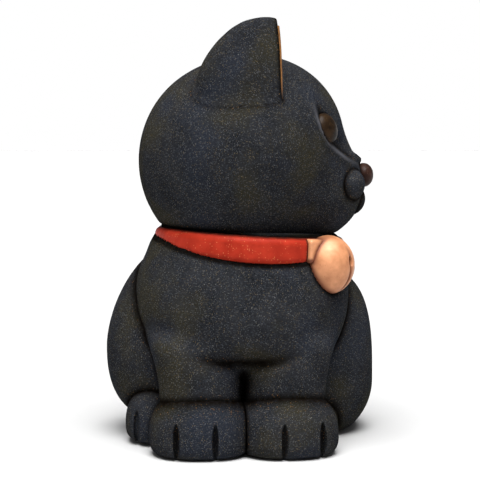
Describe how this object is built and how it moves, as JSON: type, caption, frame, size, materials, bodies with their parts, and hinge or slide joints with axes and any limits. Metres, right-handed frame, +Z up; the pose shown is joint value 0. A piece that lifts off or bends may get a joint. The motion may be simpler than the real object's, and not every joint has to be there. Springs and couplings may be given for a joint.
{
  "type": "cat figurine",
  "caption": "Sitting cat figurine in matt speckled blue-black clay with turned head, red collar and copper-coloured bell.",
  "frame": {"origin": "on the resting face, on the body's centre line, 14 mm in front of the drain hole's axis", "axes": "+Z up, -Y towards the front of the chest and paws, -X towards the cat's right side; the head faces nearly +X"},
  "size_m": [0.08, 0.0772, 0.1205],
  "materials": {
    "glaze_body": "matt blue-black with fine metallic specks",
    "ear_paint": "matt ochre-orange",
    "eye_glaze": "semi-gloss dark bronze brown",
    "nose_glaze": "semi-gloss dark red-brown",
    "collar_paint": "satin red with gold specks",
    "bell_paint": "matt peach-copper"
  },
  "bodies": {
    "root": {"body_casting": "glaze_body", "right_front_paw": "glaze_body", "left_front_paw": "glaze_body", "right_haunch": "glaze_body", "left_haunch": "glaze_body", "right_hind_paw": "glaze_body", "left_hind_paw": "glaze_body", "tail": "glaze_body", "head_casting": "glaze_body", "right_ear": "glaze_body", "left_ear": "glaze_body", "right_ear_lining": "ear_paint", "left_ear_lining": "ear_paint", "right_eye": "eye_glaze", "left_eye": "eye_glaze", "nose": "nose_glaze", "right_whisker_pad": "glaze_body", "left_whisker_pad": "glaze_body", "chin": "glaze_body", "collar": "collar_paint", "bell_hanger": "bell_paint", "bell": "bell_paint"}
  },
  "joints": []
}
